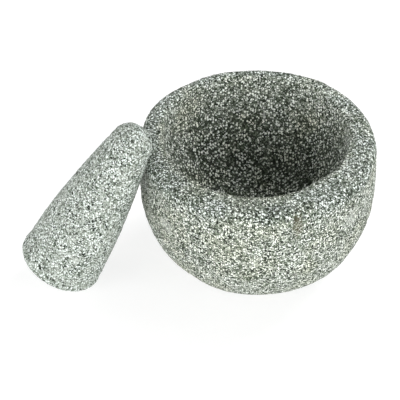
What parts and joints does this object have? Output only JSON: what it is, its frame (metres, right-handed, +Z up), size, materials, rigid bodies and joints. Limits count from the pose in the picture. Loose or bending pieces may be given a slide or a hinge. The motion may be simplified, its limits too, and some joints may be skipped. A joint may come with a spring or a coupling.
{
  "type": "molcajete",
  "caption": "Footless round granite mortar with a thick rounded rim, and a club-shaped granite pestle that stands beside it and leans on the rim, for crushing and grinding food by hand.",
  "frame": {"origin": "centre of the bowl's flat foot, on the surface it stands on", "axes": "+Z up; the pestle leans on the rim at the -X side; -Y faces a person using it"},
  "size_m": [0.3061, 0.203, 0.1637],
  "materials": {
    "granite_bowl": "hewn salt-and-pepper granite, unpolished",
    "granite_pestle": "hewn salt-and-pepper granite, unpolished and a little dusty"
  },
  "bodies": {
    "bowl": {"bowl": "granite_bowl"},
    "pestle": {"pestle": "granite_pestle"}
  },
  "joints": [
    {"name": "pestle_lift", "type": "slide", "parent": "bowl", "child": "pestle", "axis": [0, 0, 1], "range_m": [0, 0.18]}
  ]
}
